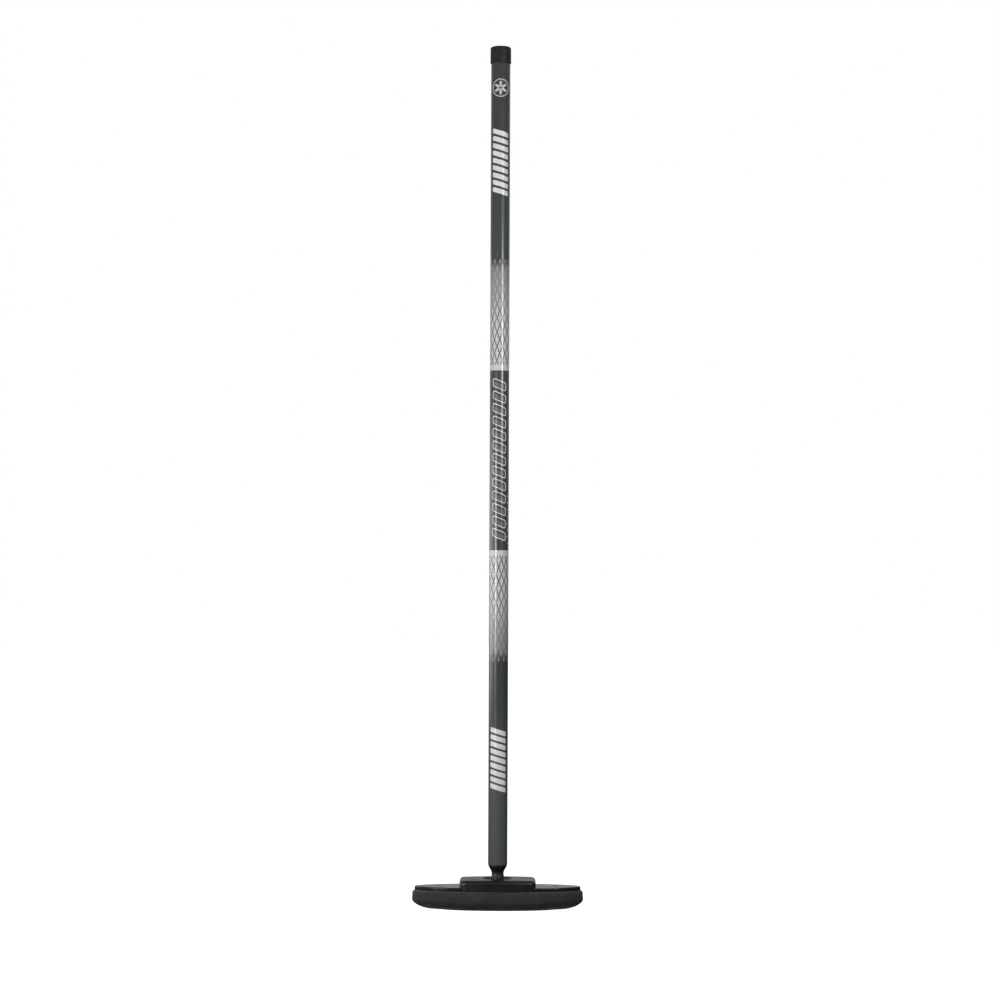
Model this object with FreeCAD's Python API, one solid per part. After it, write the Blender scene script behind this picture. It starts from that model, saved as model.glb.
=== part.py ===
"""Curling broom: a composite tube with a rubber end cap, on a head that tilts and swivels.

Millimetres. The origin is the centre of the pad's underside, +X runs along the head, +Y to its
rear and +Z up the tube. The handle tilts about a steel pin along X, held in the ears of a yoke,
and the yoke turns about Z between two slip rings inside the head.
"""

import FreeCAD
import Part

import math
import os

# --- Tube and end cap ---------------------------------------------------------------------------
TUBE_R = 12.7
TUBE_WALL = 1.6
TUBE_BOTTOM = 58.7
CAP_R = 13.85
CAP_BOTTOM = 1112.7
CAP_TOP = 1135.4
CAP_ROOF = 4.0
CAP_EDGE = 4.5
CAP_RIM = 1.0
CAP_CROWN = 0.4

# --- Neck ferrule and the tilt pivot ------------------------------------------------------------
PIVOT_Z = 34.5
COLLAR_R = 12.3
COLLAR_H = 1.8
CONE_FOOT = (9.05, 51.2)
WAIST_R = 7.9
WAIST_Z = 46.6
NECK_FOOT_R = 9.2
NECK_FOOT_Z = 42.0
UPPER_BEND = 0.27
LOWER_BEND = 0.3
EYE_R = 8.2
EYE_HALF = 8.6
SPIGOT_TOP = 100.0
SPIGOT_R = 10.3
SPIGOT_BORE = 6.0
SPIGOT_FLOOR = 64.0
RIB_W = 2.0
RIB_PITCH = 6.0

PIN_R = 2.5
PIN_RUNNING = 0.04
PIN_HALF = 16.9
BUSH_R = 3.8
BUSH_DEPTH = 6.6
FLANGE_R = 6.0
FLANGE_T = 0.7
FLANGE_GAP = 0.1
WASHER_T = 0.5
CLIP_R = 4.4
CLIP_T = 0.8
CLIP_GROOVE_R = 2.0
CLIP_MOUTH = 3.0

# --- Yoke and its turntable ---------------------------------------------------------------------
EAR_T = 5.0
EAR_R = 6.2
DISC_R = 21.0
DISC_T = 3.0
SLOT_HALF_Y = 9.6
SLIP_GAP = 0.1
LOWER_RING_T = 0.6
RING_R = 21.1
LOWER_RING_BORE = 13.0

# --- Head plate ---------------------------------------------------------------------------------
PLATE_A = 108.8
PLATE_B = 32.0
PLATE_BOTTOM = 24.5
PLATE_TOP = 30.5
PLATE_EDGE = 1.2
PLATE_WEB = 1.5
POCKET_R = 21.2
LAND_TOP = 27.5
LAND_INNER_A = 46.5
LAND_INNER_B = 21.5

# --- Swivel housing -----------------------------------------------------------------------------
HOUSING_A = 50.0
HOUSING_CORNER = 8.0
HOUSING_TOP = 40.8
HOUSING_EDGE = 5.0
HOUSING_WALL = 2.4
OPENING_R = 19.0
DISH_R = 21.0
DISH_DEPTH = 3.0
DISH_BEND = (0.6, 1.0)
RING_WALL = 2.2
APRON_HALF = 42.5
APRON_OUT = 1.7
APRON_BOTTOM = 25.5
APRON_CORNER = 2.0
APRON_FIT = 0.1

# --- Screws and brass inserts -------------------------------------------------------------------
HOUSING_SCREW_X = 36.0
HOUSING_SCREW_Y = 9.5
SCREW_R = 1.9
HEAD_R = 3.2
HEAD_T = 1.9
HEAD_SINK = 0.3
SCREW_HOLE_R = 2.1
HEX_R = 1.3
HEX_DEPTH = 1.2
INSERT_R = 2.9
KNURL_GAP = 1.2
KNURL_DEPTH = 0.4
BOSS_R = 5.0
INSERT_TOP = 36.5
HOUSING_SCREW_TOP = 35.5
PAD_SCREW_X = 76.0
PAD_SCREW_FOOT = 19.6
PAD_INSERT_FOOT = 19.0

# --- Pad ----------------------------------------------------------------------------------------
PAD_TOP = 24.5
PAD_FLAT_A = 76.0
PAD_FLAT_B = 26.0
PAD_WIDE_A = 112.7
PAD_WIDE_B = 36.0
PAD_WIDE_Z = 14.0
PAD_FULLNESS = 2.4
PAD_SHOULDER_Z = 18.0
PAD_TUCK_A = 3.1
PAD_TUCK_B = 3.0
COVER_T = 1.2
COVER_HOLE_A = 100.0
COVER_HOLE_B = 24.0
CARRIER_A = 104.5
CARRIER_B = 28.5
CARRIER_BOTTOM = 18.5
HEM_IN = 0.2
HEM_OUT = 1.1
HEM_H = 0.8

UP = FreeCAD.Vector(0, 0, 1)
ALONG = FreeCAD.Vector(1, 0, 0)


def point(x, y, z):
    """A point from its three coordinates."""
    return FreeCAD.Vector(x, y, z)


def rod(radius, z_low, z_high, x=0.0, y=0.0):
    """A round bar standing on z_low."""
    return Part.makeCylinder(radius, z_high - z_low, point(x, y, z_low), UP)


def cross_rod(radius, x_low, x_high):
    """A round bar along X on the tilt axis."""
    return Part.makeCylinder(radius, x_high - x_low, point(x_low, 0, PIVOT_Z), ALONG)


def washer(outer, inner, z_low, z_high):
    """A flat ring about Z."""
    return rod(outer, z_low, z_high).cut(rod(inner, z_low, z_high))


def ellipse_wire(a, b, z):
    """An ellipse with half-lengths a along X and b along Y, a the longer."""
    return Part.Wire(Part.Ellipse(point(0, 0, z), a, b).toShape())


def ellipse_slab(a, b, z_low, z_high):
    """An upright elliptical slab."""
    return Part.Face(ellipse_wire(a, b, z_low)).extrude(point(0, 0, z_high - z_low))


def block(x_low, x_high, y_low, y_high, z_low, z_high):
    """A rectangular block from its limits."""
    size = (x_high - x_low, y_high - y_low, z_high - z_low)
    return Part.makeBox(*size, point(x_low, y_low, z_low))


def line(start, end):
    """A straight edge between two (radius, height) points of a turned profile."""
    return Part.LineSegment(point(start[0], 0, start[1]), point(end[0], 0, end[1])).toShape()


def arc(start, middle, end):
    """A round edge through three (radius, height) points of a turned profile."""
    ends = [point(r, 0, z) for r, z in (start, middle, end)]
    return Part.Arc(*ends).toShape()


def turned(edges):
    """The solid that a closed profile of edges sweeps about Z."""
    face = Part.Face(Part.Wire(edges))
    return face.revolve(point(0, 0, 0), UP, 360)


def edges_at(shape, z):
    """The edges that lie wholly at height z."""
    close = 1e-4
    return [e for e in shape.Edges
            if abs(e.BoundBox.ZMin - z) < close and abs(e.BoundBox.ZMax - z) < close]


def upright_edges(shape):
    """The edges that stand upright."""
    close = 1e-4
    return [e for e in shape.Edges if e.BoundBox.XLength < close and e.BoundBox.YLength < close]


def mirrored(shape, normal):
    """The shape reflected in the plane through the origin with this normal."""
    return shape.mirror(point(0, 0, 0), normal)


def pair(shape):
    """A shape on the +X side together with its twin on the -X side, as separate solids."""
    return Part.makeCompound([shape, mirrored(shape, ALONG)])


# --- Handle -------------------------------------------------------------------------------------
def shaft_tube():
    """Composite tube, which stands on the ferrule's collar and ends under the cap's roof."""
    top = CAP_TOP - CAP_ROOF
    return washer(TUBE_R, TUBE_R - TUBE_WALL, TUBE_BOTTOM, top)


def end_cap():
    """Push-on rubber cap: a cup with a rounded, slightly crowned top and a softened rim."""
    side_top = CAP_TOP - CAP_CROWN - CAP_EDGE
    lean = CAP_EDGE * (1 - math.sqrt(0.5))
    crown_r = CAP_R - CAP_EDGE
    seat = CAP_TOP - CAP_ROOF
    return turned([
        line((0, seat), (TUBE_R, seat)),
        line((TUBE_R, seat), (TUBE_R, CAP_BOTTOM)),
        line((TUBE_R, CAP_BOTTOM), (CAP_R - CAP_RIM / 2, CAP_BOTTOM)),
        line((CAP_R - CAP_RIM / 2, CAP_BOTTOM), (CAP_R, CAP_BOTTOM + CAP_RIM)),
        line((CAP_R, CAP_BOTTOM + CAP_RIM), (CAP_R, side_top)),
        arc((CAP_R, side_top), (CAP_R - lean, side_top + CAP_EDGE - lean),
            (crown_r, side_top + CAP_EDGE)),
        line((crown_r, side_top + CAP_EDGE), (0, CAP_TOP)),
        line((0, CAP_TOP), (0, seat)),
    ])


def neck_profile():
    """Half outline of the neck: collar, cone, waist and the widening above the eye."""
    collar_low = TUBE_BOTTOM - COLLAR_H
    upper_bend = (WAIST_R + UPPER_BEND, (CONE_FOOT[1] + WAIST_Z) / 2)
    lower_bend = (WAIST_R + LOWER_BEND, (WAIST_Z + NECK_FOOT_Z) / 2)
    foot = (NECK_FOOT_R, NECK_FOOT_Z)
    return [
        line((0, TUBE_BOTTOM), (COLLAR_R, TUBE_BOTTOM)),
        line((COLLAR_R, TUBE_BOTTOM), (COLLAR_R, collar_low)),
        line((COLLAR_R, collar_low), CONE_FOOT),
        arc(CONE_FOOT, upper_bend, (WAIST_R, WAIST_Z)),
        arc((WAIST_R, WAIST_Z), lower_bend, foot),
        line(foot, (NECK_FOOT_R, PIVOT_Z)),
        line((NECK_FOOT_R, PIVOT_Z), (0, PIVOT_Z)),
        line((0, PIVOT_Z), (0, TUBE_BOTTOM)),
    ]


def neck_ferrule():
    """Moulded ferrule: ribbed spigot in the tube, conical neck and the eye that the pin runs in."""
    eye = cross_rod(EYE_R, -EYE_HALF, EYE_HALF)
    sides = block(-EYE_HALF, EYE_HALF, -NECK_FOOT_R, NECK_FOOT_R, PIVOT_Z, NECK_FOOT_Z)
    neck = turned(neck_profile())
    above = block(-TUBE_R, TUBE_R, -TUBE_R, TUBE_R, NECK_FOOT_Z, TUBE_BOTTOM)
    foot = neck.common(sides).fuse(neck.common(above))
    spigot = rod(SPIGOT_R, TUBE_BOTTOM, SPIGOT_TOP)
    count = int((SPIGOT_TOP - TUBE_BOTTOM) / RIB_PITCH)
    ribs = [rod(TUBE_R - TUBE_WALL, z, z + RIB_W)
            for z in (TUBE_BOTTOM + RIB_PITCH * (i + 0.5) for i in range(count))]
    body = foot.multiFuse([eye, spigot, *ribs])
    for sign in (-1, 1):
        near, far = sorted((sign * (EYE_HALF - BUSH_DEPTH), sign * EYE_HALF))
        body = body.cut(cross_rod(BUSH_R, near, far))
    body = body.cut(cross_rod(PIN_R + 2 * PIN_RUNNING, -EYE_HALF, EYE_HALF))
    return body.cut(rod(SPIGOT_BORE, SPIGOT_FLOOR, SPIGOT_TOP)).removeSplitter()


def pivot_bushes():
    """Two flanged acetal bushes, one in each end of the eye."""
    sleeve = cross_rod(BUSH_R, EYE_HALF - BUSH_DEPTH, EYE_HALF)
    flange = cross_rod(FLANGE_R, EYE_HALF, EYE_HALF + FLANGE_T)
    bore = cross_rod(PIN_R + PIN_RUNNING, 0, EYE_HALF + FLANGE_T)
    return pair(sleeve.fuse(flange).cut(bore).removeSplitter())


# --- Yoke ---------------------------------------------------------------------------------------
def ear_inner():
    """Distance from the centre to the inner face of an ear."""
    return EYE_HALF + FLANGE_T + FLANGE_GAP + WASHER_T


def disc_bottom():
    """Height of the turntable disc's underside, just clear of the lower slip ring."""
    return PLATE_BOTTOM + PLATE_WEB + LOWER_RING_T + SLIP_GAP


def swivel_yoke():
    """Turntable disc with a slot for the eye and two ears that hold the pin."""
    low = disc_bottom()
    high = low + DISC_T
    disc = rod(DISC_R, low, high)
    inner, outer = ear_inner(), ear_inner() + EAR_T
    ears = []
    for side in (1, -1):
        near, far = sorted((side * inner, side * outer))
        ears.append(block(near, far, -EAR_R, EAR_R, low, PIVOT_Z))
        ears.append(cross_rod(EAR_R, near, far))
    body = disc.multiFuse(ears)
    body = body.cut(block(-inner, inner, -SLOT_HALF_Y, SLOT_HALF_Y, low, PIVOT_Z + EAR_R))
    return body.cut(cross_rod(PIN_R, -outer, outer)).removeSplitter()


def clip_groove():
    """The two faces of the groove that a clip sits in, on the +X side."""
    near = ear_inner() + EAR_T
    return near, near + CLIP_T


def pivot_pin():
    """Steel pin with chamfered ends and a groove for a clip near each."""
    chamfer = 0.5
    pin = cross_rod(PIN_R, -PIN_HALF, PIN_HALF)
    ends = [e for e in pin.Edges if abs(abs(e.CenterOfMass.x) - PIN_HALF) < 1e-6]
    pin = pin.makeChamfer(chamfer, [e for e in ends if len(e.Vertexes) == 1])
    near, far = clip_groove()
    for x_low, x_high in ((near, far), (-far, -near)):
        pin = pin.cut(cross_rod(PIN_R, x_low, x_high).cut(cross_rod(CLIP_GROOVE_R, x_low, x_high)))
    return pin


def pin_clips():
    """Two spring-steel E-clips, each open downward, in the pin's grooves."""
    near, far = clip_groove()
    clip = cross_rod(CLIP_R, near, far).cut(cross_rod(CLIP_GROOVE_R, near, far))
    mouth = block(near, far, -CLIP_MOUTH / 2, CLIP_MOUTH / 2, PIVOT_Z - CLIP_R, PIVOT_Z)
    return pair(clip.cut(mouth).removeSplitter())


def thrust_washers():
    """Two thin washers on the pin, against the ears' inner faces."""
    near, far = ear_inner() - WASHER_T, ear_inner()
    return pair(cross_rod(FLANGE_R, near, far).cut(cross_rod(PIN_R, near, far)))


def lower_slip_ring():
    """Acetal ring on the plate's floor, under the turntable disc."""
    low = PLATE_BOTTOM + PLATE_WEB
    return washer(RING_R, LOWER_RING_BORE, low, low + LOWER_RING_T)


def upper_slip_ring():
    """Acetal ring between the turntable disc and the housing's shoulder."""
    low = disc_bottom() + DISC_T + SLIP_GAP
    return washer(RING_R, OPENING_R + SLIP_GAP, low, PLATE_TOP)


# --- Head plate and housing ---------------------------------------------------------------------
def screw_places():
    """Plan positions of the four housing screws."""
    return [(sx * HOUSING_SCREW_X, sy * HOUSING_SCREW_Y) for sx in (-1, 1) for sy in (-1, 1)]


def apron_land(spare):
    """The space above the plate's lowered front and rear lands, where the aprons lie."""
    reach = APRON_HALF + spare
    wide = block(-reach, reach, -2 * PLATE_B, 2 * PLATE_B, LAND_TOP, PLATE_TOP)
    return wide.cut(ellipse_slab(LAND_INNER_A, LAND_INNER_B, LAND_TOP, PLATE_TOP))


def head_plate():
    """Elliptical plate with a softened top edge, a turntable pocket and screw holes."""
    plate = ellipse_slab(PLATE_A, PLATE_B, PLATE_BOTTOM, PLATE_TOP)
    plate = plate.makeFillet(PLATE_EDGE, edges_at(plate, PLATE_TOP))
    waste = [rod(POCKET_R, PLATE_BOTTOM + PLATE_WEB, PLATE_TOP), apron_land(APRON_FIT)]
    head_room = HEAD_SINK + HEAD_T
    for x, y in screw_places():
        waste.append(rod(SCREW_HOLE_R, PLATE_BOTTOM, PLATE_TOP, x, y))
        waste.append(rod(HEAD_R, PLATE_BOTTOM, PLATE_BOTTOM + head_room, x, y))
    for x in (-PAD_SCREW_X, PAD_SCREW_X):
        waste.append(rod(SCREW_HOLE_R, PLATE_BOTTOM, PLATE_TOP, x))
        waste.append(rod(HEAD_R, PLATE_TOP - head_room, PLATE_TOP, x))
    for piece in waste:
        plate = plate.cut(piece)
    return plate


def housing_slab(half, inset, corner, z_low, z_high):
    """A slab in the housing's plan: straight ends, long sides along the plate's edge."""
    reach = APRON_OUT - inset
    blank = block(-half, half, -2 * PLATE_B, 2 * PLATE_B, z_low, z_high)
    blank = blank.common(ellipse_slab(PLATE_A + reach, PLATE_B + reach, z_low, z_high))
    return blank.makeFillet(corner, upright_edges(blank))


def aprons():
    """The housing's front and rear skirts: on the plate's lands and down over its edge."""
    blank = housing_slab(APRON_HALF, 0, APRON_CORNER, APRON_BOTTOM, PLATE_TOP)
    blank = blank.cut(ellipse_slab(PLATE_A, PLATE_B, PLATE_BOTTOM, LAND_TOP))
    return blank.cut(ellipse_slab(LAND_INNER_A, LAND_INNER_B, LAND_TOP, PLATE_TOP))


def housing_dome():
    """Hollow dome with rounded edges and a dished round opening for the neck."""
    dome = housing_slab(HOUSING_A, 0, HOUSING_CORNER, PLATE_TOP, HOUSING_TOP)
    dome = dome.makeFillet(HOUSING_EDGE, edges_at(dome, HOUSING_TOP))
    cavity = housing_slab(HOUSING_A - HOUSING_WALL, HOUSING_WALL, HOUSING_CORNER - HOUSING_WALL,
                          PLATE_TOP, HOUSING_TOP - 2 * HOUSING_WALL)
    cavity = cavity.cut(rod(OPENING_R + RING_WALL, PLATE_TOP, HOUSING_TOP))
    for x, y in screw_places():
        cavity = cavity.cut(rod(BOSS_R, PLATE_TOP, HOUSING_TOP, x, y))
    dish = turned([
        line((0, HOUSING_TOP - DISH_DEPTH), (OPENING_R, HOUSING_TOP - DISH_DEPTH)),
        arc((OPENING_R, HOUSING_TOP - DISH_DEPTH), (OPENING_R + DISH_BEND[0], HOUSING_TOP - DISH_BEND[1]),
            (DISH_R, HOUSING_TOP)),
        line((DISH_R, HOUSING_TOP), (0, HOUSING_TOP)),
        line((0, HOUSING_TOP), (0, HOUSING_TOP - DISH_DEPTH)),
    ])
    return dome.cut(cavity).cut(rod(OPENING_R, PLATE_TOP, HOUSING_TOP)).cut(dish)


def swivel_housing():
    """Housing moulding: dome, front and rear aprons, and bosses for the brass inserts."""
    body = housing_dome().fuse(aprons())
    for x, y in screw_places():
        body = body.cut(rod(INSERT_R, PLATE_TOP, INSERT_TOP, x, y))
    return body.removeSplitter()


def insert(low, high, x, y):
    """A knurled brass insert, drawn as a plain bush with two knurl bands."""
    groove_low = (low + high - KNURL_GAP) / 2
    groove_high = groove_low + KNURL_GAP
    body = rod(INSERT_R, low, high, x, y)
    groove = rod(INSERT_R, groove_low, groove_high, x, y)
    groove = groove.cut(rod(INSERT_R - KNURL_DEPTH, groove_low, groove_high, x, y))
    return body.cut(groove).cut(rod(SCREW_R, low, high, x, y))


def socket_screw(x, y, head_z, foot_z):
    """A cap screw from its head's outer face to its foot, with a hex socket in the head."""
    way = 1 if foot_z > head_z else -1
    neck_z = head_z + way * HEAD_T
    head = rod(HEAD_R, min(head_z, neck_z), max(head_z, neck_z), x, y)
    shank = rod(SCREW_R, min(neck_z, foot_z), max(neck_z, foot_z), x, y)
    corners = [point(x + HEX_R * math.cos(k * math.pi / 3), y + HEX_R * math.sin(k * math.pi / 3),
                     head_z) for k in range(7)]
    hexagon = Part.Face(Part.makePolygon(corners)).extrude(point(0, 0, way * HEX_DEPTH))
    return head.fuse(shank).cut(hexagon).removeSplitter()


def housing_screws():
    """Four screws up through the plate into the housing."""
    head_z = PLATE_BOTTOM + HEAD_SINK
    return Part.makeCompound([socket_screw(x, y, head_z, HOUSING_SCREW_TOP)
                              for x, y in screw_places()])


def housing_inserts():
    """Four brass inserts in the housing's bosses."""
    return Part.makeCompound([insert(PLATE_TOP, INSERT_TOP, x, y)
                              for x, y in screw_places()])


def pad_screws():
    """Two screws down through the plate, which hold the pad."""
    return pair(socket_screw(PAD_SCREW_X, 0, PLATE_TOP - HEAD_SINK, PAD_SCREW_FOOT))


def pad_inserts():
    """Two brass inserts in the pad's board."""
    return pair(insert(PAD_INSERT_FOOT, PAD_TOP, PAD_SCREW_X, 0))


# --- Pad ----------------------------------------------------------------------------------------
def pad_section(height, inset):
    """The pad's outline at a height: rounded up from the flat underside, then over a shoulder."""
    if height < PAD_WIDE_Z:
        rise = math.sqrt(1 - (1 - height / PAD_WIDE_Z) ** PAD_FULLNESS)
        a = PAD_FLAT_A + (PAD_WIDE_A - PAD_FLAT_A) * rise
        b = PAD_FLAT_B + (PAD_WIDE_B - PAD_FLAT_B) * rise
    else:
        climb = max(0.0, height - PAD_SHOULDER_Z) / (PAD_TOP - PAD_SHOULDER_Z)
        tuck = 1 - math.sqrt(1 - min(1.0, climb) ** 2)
        a = PAD_WIDE_A - PAD_TUCK_A * tuck
        b = PAD_WIDE_B - PAD_TUCK_B * tuck
    low, high = inset, PAD_TOP - inset
    z = low + (high - low) * height / PAD_TOP
    return ellipse_wire(a - inset, b - inset, z)


def pad_solid(inset=0.0):
    """The whole pad's outer shape, or that shape shrunk all round by inset."""
    turns = [math.radians(step) for step in (0, 18, 36, 54, 72, 90)]
    shoulder = PAD_TOP - PAD_SHOULDER_Z
    lower = [PAD_WIDE_Z * (1 - math.cos(turn)) for turn in turns]
    upper = [PAD_SHOULDER_Z + shoulder * math.sin(turn) for turn in turns]
    return Part.makeLoft([pad_section(h, inset) for h in lower + upper], True, False)


def pad_carrier():
    """Moulded board that the foam and cover are made up on, with a raised middle."""
    board = ellipse_slab(CARRIER_A, CARRIER_B, CARRIER_BOTTOM, PAD_TOP - COVER_T)
    middle = ellipse_slab(COVER_HOLE_A, COVER_HOLE_B, CARRIER_BOTTOM, PAD_TOP)
    board = board.fuse(middle)
    for x in (-PAD_SCREW_X, PAD_SCREW_X):
        board = board.cut(rod(INSERT_R, PAD_INSERT_FOOT, PAD_TOP, x))
    return board.removeSplitter()


def pad_foam():
    """Closed-cell foam block, moulded round the board."""
    board = ellipse_slab(CARRIER_A, CARRIER_B, CARRIER_BOTTOM, PAD_TOP)
    return pad_solid(COVER_T).cut(board)


def pad_cover():
    """Woven cover: a skin over the foam, folded in over the board's edge at the top."""
    hole = ellipse_slab(COVER_HOLE_A, COVER_HOLE_B, PAD_TOP - 2 * COVER_T, PAD_TOP)
    return pad_solid().cut(pad_solid(COVER_T)).cut(hole)


def cover_hem():
    """Bound edge of the cover, a narrow band round the foot of the plate."""
    outer = ellipse_slab(PLATE_A + HEM_OUT, PLATE_B + HEM_OUT, PAD_TOP, PAD_TOP + HEM_H)
    inner = ellipse_slab(PLATE_A + HEM_IN, PLATE_B + HEM_IN, PAD_TOP, PAD_TOP + HEM_H)
    return outer.cut(inner)


NODES = (
    shaft_tube, end_cap, neck_ferrule, pivot_bushes,
    swivel_yoke, pivot_pin, pin_clips, thrust_washers,
    swivel_housing, upper_slip_ring, lower_slip_ring, housing_screws, housing_inserts,
    head_plate, pad_screws, pad_inserts, pad_carrier, pad_foam, pad_cover, cover_hem,
)


def main():
    """Writes one STEP file for each node."""
    os.makedirs("parts", exist_ok=True)
    for make in NODES:
        shape = make()
        solids = len(shape.Solids)
        print(f"{make.__name__}: solids {solids}, valid {shape.isValid()}, "
              f"volume {shape.Volume / 1000:.2f} cm3")
        shape.exportStep(f"parts/{make.__name__}.step")


if __name__ == "__main__":
    main()
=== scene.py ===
"""Looks of a curling broom: a printed tube, a moulded neck and head, and a padded sole.

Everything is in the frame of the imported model: origin under the middle of the pad, +X along the
head, +Y to its rear and +Z up the tube. Sizes are fields in millimetres, and meshes are in metres.
"""

from __future__ import annotations

import logging
import math
from bisect import bisect_left
from dataclasses import dataclass, field
from enum import Enum
from typing import Sequence

import bmesh
import bpy
from mathutils import Matrix, Vector

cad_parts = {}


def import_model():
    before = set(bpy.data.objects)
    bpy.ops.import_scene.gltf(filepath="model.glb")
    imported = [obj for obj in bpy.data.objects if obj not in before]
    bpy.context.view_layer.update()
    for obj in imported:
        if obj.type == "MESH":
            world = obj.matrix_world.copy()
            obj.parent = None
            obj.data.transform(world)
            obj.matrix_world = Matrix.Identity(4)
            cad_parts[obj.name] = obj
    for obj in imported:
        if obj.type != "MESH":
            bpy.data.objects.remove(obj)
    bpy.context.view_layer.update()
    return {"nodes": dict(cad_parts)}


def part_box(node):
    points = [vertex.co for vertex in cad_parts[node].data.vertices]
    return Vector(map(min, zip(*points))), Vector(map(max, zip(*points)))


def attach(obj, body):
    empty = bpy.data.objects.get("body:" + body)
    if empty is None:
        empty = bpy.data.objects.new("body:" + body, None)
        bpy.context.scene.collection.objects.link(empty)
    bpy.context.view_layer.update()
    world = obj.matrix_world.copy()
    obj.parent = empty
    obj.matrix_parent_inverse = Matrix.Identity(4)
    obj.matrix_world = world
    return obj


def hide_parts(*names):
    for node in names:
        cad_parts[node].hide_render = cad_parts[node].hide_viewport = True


LOG = logging.getLogger("curling_broom")
MM = 0.001
TURN = 2 * math.pi
FIT = 0.02

Colour = tuple[float, float, float]
Point2 = tuple[float, float]
Row = list[Vector]


class Body(Enum):
    """Rigid bodies of the broom."""

    HANDLE = "handle"
    SWIVEL = "swivel"
    HEAD = "head"


class Ends(Enum):
    """How the first and last rows of a skin are closed."""

    OPEN = "open"
    POLES = "poles"
    LOOP = "loop"


# --- Outlines and skins ---------------------------------------------------------------------------
def rounded(corners: Sequence[tuple[float, float, float]], closed: bool, steps: int = 6) -> list[Point2]:
    """Rounds the corners of a flat outline.

    Args:
        corners: (x, y, radius) of each corner; a radius of 0 leaves it sharp.
        closed: whether the last corner joins the first.
        steps: straight pieces in each rounded corner.

    Returns:
        The outline's points, in millimetres.
    """
    path: list[Point2] = []
    count = len(corners)
    for i, (x, y, radius) in enumerate(corners):
        inner = closed or 0 < i < count - 1
        if radius <= 0 or not inner:
            path.append((x, y))
            continue
        here = Vector((x, y))
        back = Vector(corners[i - 1][:2]) - here
        ahead = Vector(corners[(i + 1) % count][:2]) - here
        half = back.angle(ahead) / 2
        reach = min(radius / math.tan(half), 0.49 * back.length, 0.49 * ahead.length)
        start = here + back.normalized() * reach
        end = here + ahead.normalized() * reach
        centre = here + (back.normalized() + ahead.normalized()).normalized() * (reach / math.cos(half))
        first, last = start - centre, end - centre
        sweep = first.angle_signed(last)
        for k in range(steps + 1):
            turned = first.copy()
            turned.rotate(Matrix.Rotation(-sweep * k / steps, 2))
            path.append(tuple(centre + turned))
    return path


def ring(a: float, b: float, z: float, count: int) -> Row:
    """An ellipse of points, in metres, from half-lengths and height in millimetres."""
    return [
        Vector((a * math.cos(TURN * k / count), b * math.sin(TURN * k / count), z)) * MM
        for k in range(count)
    ]


def skin(name: str, rows: Sequence[Row], ends: Ends, crease: float = 40.0) -> bpy.types.Object:
    """Joins closed rows of points into one smooth-shaded mesh object.

    Args:
        name: the piece's name.
        rows: rows of equal length; with POLES the first and last hold one point each.
        ends: how the skin is closed.
        crease: angle in degrees above which an edge shows sharp.

    Returns:
        The new object, linked to the scene.
    """
    mesh = bmesh.new()
    grid = [[mesh.verts.new(p) for p in row] for row in rows]
    pairs = list(zip(grid, grid[1:]))
    if ends is Ends.LOOP:
        pairs.append((grid[-1], grid[0]))
    for low, high in pairs:
        count = max(len(low), len(high))
        for k in range(count):
            n = (k + 1) % count
            corners = [low[k % len(low)], low[n % len(low)], high[n % len(high)], high[k % len(high)]]
            mesh.faces.new(list(dict.fromkeys(corners)))
    bmesh.ops.recalc_face_normals(mesh, faces=mesh.faces)
    return linked(name, mesh, crease)


def linked(name: str, mesh: bmesh.types.BMesh, crease: float = 40.0) -> bpy.types.Object:
    """Makes a linked, smooth-shaded object of a bmesh and frees the bmesh.

    Args:
        name: the piece's name.
        mesh: its faces.
        crease: angle in degrees above which an edge shows sharp.

    Returns:
        The new object.
    """
    data = bpy.data.meshes.new(name)
    mesh.to_mesh(data)
    mesh.free()
    data.shade_smooth()
    data.set_sharp_from_angle(angle=math.radians(crease))
    piece = bpy.data.objects.new(name, data)
    bpy.context.scene.collection.objects.link(piece)
    return piece


def lathe(name: str, outline: Sequence[Point2], ends: Ends, count: int = 128) -> bpy.types.Object:
    """Turns an outline of (radius, height) points, in millimetres, about Z."""
    rows = [ring(r, r, z, count) if r > 0 else [Vector((0, 0, z)) * MM] for r, z in outline]
    return skin(name, rows, ends)


def baked(piece: bpy.types.Object) -> None:
    """Replaces a piece's mesh with what its modifiers make of it."""
    graph = bpy.context.evaluated_depsgraph_get()
    made = bpy.data.meshes.new_from_object(piece.evaluated_get(graph))
    piece.modifiers.clear()
    piece.data = made


def smoothstep(low: float, high: float, value: float) -> float:
    """0 below low, 1 above high and smooth between."""
    t = min(1.0, max(0.0, (value - low) / (high - low)))
    return t * t * (3 - 2 * t)


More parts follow.
